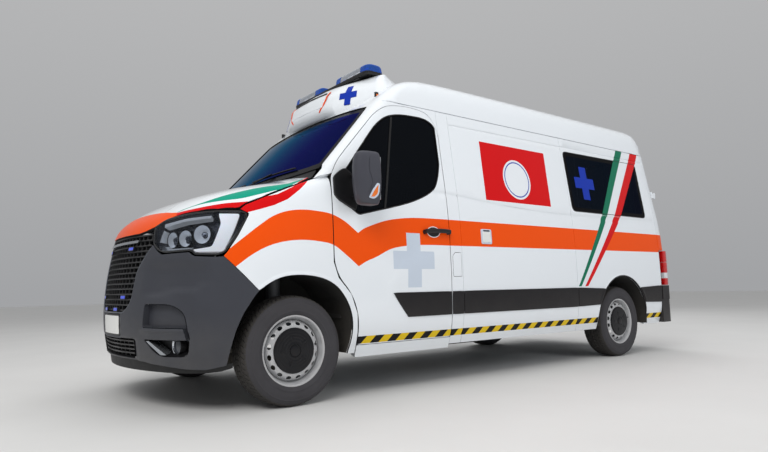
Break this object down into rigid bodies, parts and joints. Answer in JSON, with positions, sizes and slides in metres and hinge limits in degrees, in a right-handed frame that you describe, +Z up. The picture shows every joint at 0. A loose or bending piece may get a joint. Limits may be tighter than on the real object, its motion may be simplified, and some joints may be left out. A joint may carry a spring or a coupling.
{
  "type": "ambulance",
  "caption": "Emergency ambulance on a panel van body: bonneted cab, hinged cab and rear doors, high roof with blue light bar, striped livery.",
  "frame": {"origin": "on the ground, under the middle of the body between the bumpers", "axes": "+Z up, the nose points towards -Y, the vehicle's left side is +X"},
  "size_m": [2.464, 5.5746, 2.5449],
  "materials": {
    "paint": "gloss",
    "glass": "gloss",
    "dark_plastic": "satin",
    "interior_plastic": "matte",
    "upholstery": "matte",
    "underbody": "matte",
    "cast_metal": "matte",
    "lamp": "gloss",
    "red_lens": "gloss",
    "tyre": "matte",
    "wheel_steel": "satin"
  },
  "bodies": {
    "body": {"attendant_seat": "upholstery", "b_pillars": "paint", "cab_frame": "paint", "cabinet": "interior_plastic", "cowl": "dark_plastic", "dashboard": "interior_plastic", "driver_seat": "upholstery", "engine": "cast_metal", "firewall": "underbody", "floor": "underbody", "front_bumper": "dark_plastic", "front_fenders": "paint", "front_struts": "underbody", "front_subframe": "underbody", "fuel_tank": "dark_plastic", "grille": "dark_plastic", "headlights": "lamp", "lightbar": "lamp", "partition": "interior_plastic", "passenger_seat": "upholstery", "rear_axle": "underbody", "rear_bumper": "dark_plastic", "rear_frame": "paint", "roof": "paint", "roof_visor": "paint", "side_panel_mid_left": "paint", "side_panel_rear_left": "paint", "side_panel_rear_right": "paint", "side_windows": "glass", "sills": "paint", "sliding_door": "paint", "tail_lights": "red_lens", "wheel_housings": "underbody", "windscreen": "glass"},
    "front_door_left_body": {"front_door_left": "paint", "door_window_left": "glass", "mirror_left": "dark_plastic"},
    "front_door_right_body": {"front_door_right": "paint", "door_window_right": "glass", "mirror_right": "dark_plastic"},
    "rear_door_left_body": {"rear_door_left": "paint", "rear_window_left": "glass"},
    "rear_door_right_body": {"rear_door_right": "paint", "rear_window_right": "glass"},
    "bonnet_body": {"bonnet": "paint"},
    "fuel_flap_body": {"fuel_flap": "paint"},
    "steering_wheel_body": {"steering_wheel": "interior_plastic"},
    "knuckle_left_body": {"knuckle_left": "cast_metal"},
    "knuckle_right_body": {"knuckle_right": "cast_metal"},
    "wheel_front_left": {"tyre_front_left": "tyre", "rim_front_left": "wheel_steel"},
    "wheel_front_right": {"tyre_front_right": "tyre", "rim_front_right": "wheel_steel"},
    "wheel_rear_left": {"tyre_rear_left": "tyre", "rim_rear_left": "wheel_steel"},
    "wheel_rear_right": {"tyre_rear_right": "tyre", "rim_rear_right": "wheel_steel"}
  },
  "joints": [
    {"name": "front_door_left_hinge", "type": "hinge", "parent": "body", "child": "front_door_left_body", "pos_m": [1.025, -1.6305, 1], "axis": [0, 0, -1], "range_deg": [0, 75]},
    {"name": "front_door_right_hinge", "type": "hinge", "parent": "body", "child": "front_door_right_body", "pos_m": [-1.025, -1.6305, 1], "axis": [0, 0, 1], "range_deg": [0, 75]},
    {"name": "rear_door_left_hinge", "type": "hinge", "parent": "body", "child": "rear_door_left_body", "pos_m": [0.905, 2.7135, 1], "axis": [0, 0, -1], "range_deg": [0, 180]},
    {"name": "rear_door_right_hinge", "type": "hinge", "parent": "body", "child": "rear_door_right_body", "pos_m": [-0.905, 2.7135, 1], "axis": [0, 0, 1], "range_deg": [0, 180]},
    {"name": "bonnet_hinge", "type": "hinge", "parent": "body", "child": "bonnet_body", "pos_m": [0, -1.7505, 1.492], "axis": [-1, 0, 0], "range_deg": [0, 60]},
    {"name": "fuel_flap_hinge", "type": "hinge", "parent": "body", "child": "fuel_flap_body", "pos_m": [1.034, -0.4945, 0.89], "axis": [0, 0, 1], "range_deg": [0, 100]},
    {"name": "steering_left", "type": "hinge", "parent": "body", "child": "knuckle_left_body", "pos_m": [0.815, -1.9185, 0.345], "axis": [0, 0, 1], "range_deg": [-35, 35]},
    {"name": "steering_right", "type": "hinge", "parent": "body", "child": "knuckle_right_body", "pos_m": [-0.815, -1.9185, 0.345], "axis": [0, 0, 1], "range_deg": [-35, 35]},
    {"name": "steering_wheel_spin", "type": "hinge", "parent": "body", "child": "steering_wheel_body", "pos_m": [0.42, -1.1135, 1.19], "axis": [0, 0.5736, 0.8192], "range_deg": [-495, 495]},
    {"name": "front_left_spin", "type": "hinge", "parent": "knuckle_left_body", "child": "wheel_front_left", "pos_m": [0.875, -1.9185, 0.345], "axis": [1, 0, 0], "continuous": true},
    {"name": "front_right_spin", "type": "hinge", "parent": "knuckle_right_body", "child": "wheel_front_right", "pos_m": [-0.875, -1.9185, 0.345], "axis": [1, 0, 0], "continuous": true},
    {"name": "rear_left_spin", "type": "hinge", "parent": "body", "child": "wheel_rear_left", "pos_m": [0.865, 1.7635, 0.345], "axis": [1, 0, 0], "continuous": true},
    {"name": "rear_right_spin", "type": "hinge", "parent": "body", "child": "wheel_rear_right", "pos_m": [-0.865, 1.7635, 0.345], "axis": [1, 0, 0], "continuous": true}
  ],
  "couplings": [
    {"joint": "steering_right", "follows": "steering_left", "ratio": 1},
    {"joint": "steering_wheel_spin", "follows": "steering_left", "ratio": 14}
  ]
}
